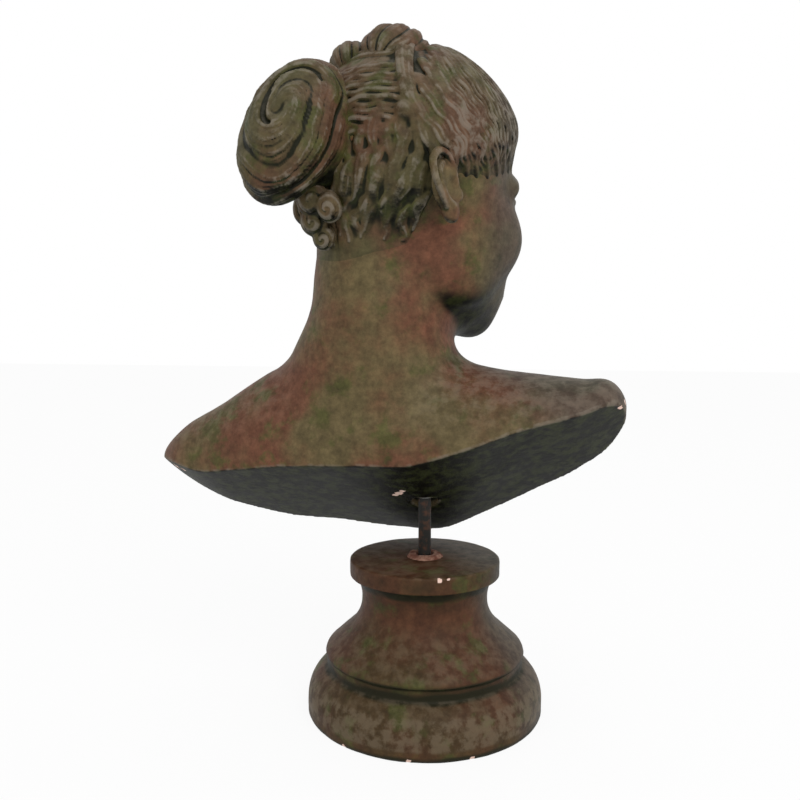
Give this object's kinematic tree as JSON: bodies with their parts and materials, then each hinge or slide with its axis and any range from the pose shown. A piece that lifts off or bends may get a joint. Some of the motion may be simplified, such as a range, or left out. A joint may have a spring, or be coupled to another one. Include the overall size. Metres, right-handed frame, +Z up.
{
  "type": "portrait bust on socle",
  "caption": "Life-size classical female bust, head turned to its right, hair in a knot, standing on a loose round pin in a turned round socle.",
  "frame": {"origin": "centre of the socle's round underside, on the pin's axis, on the surface it stands on", "axes": "+Z up along the pin, the chest faces -Y, +X towards the figure's left shoulder"},
  "size_m": [0.375, 0.2123, 0.523],
  "materials": {
    "patinated_cast": "matt, mossy brown patina",
    "mortar": "crumbly mortar",
    "tube_steel": "drawn steel tube",
    "rusted_steel": "dark weathered round bar"
  },
  "bodies": {
    "socle_body": {"socle": "patinated_cast", "socle_mortar": "mortar", "socle_sleeve": "tube_steel", "socle_sleeve_plug": "tube_steel"},
    "pin_body": {"mounting_pin": "rusted_steel"},
    "bust_body": {"bust": "patinated_cast", "bust_sleeve": "tube_steel", "shoulder_bar": "rusted_steel", "neck_bar": "rusted_steel"}
  },
  "joints": [
    {"name": "pin_turn", "type": "hinge", "parent": "socle_body", "child": "pin_body", "pos_m": [0, 0, 0.12], "axis": [0, 0, 1], "continuous": true},
    {"name": "bust_lift", "type": "slide", "parent": "pin_body", "child": "bust_body", "axis": [0, 0, 1], "range_m": [0, 0.1]}
  ]
}
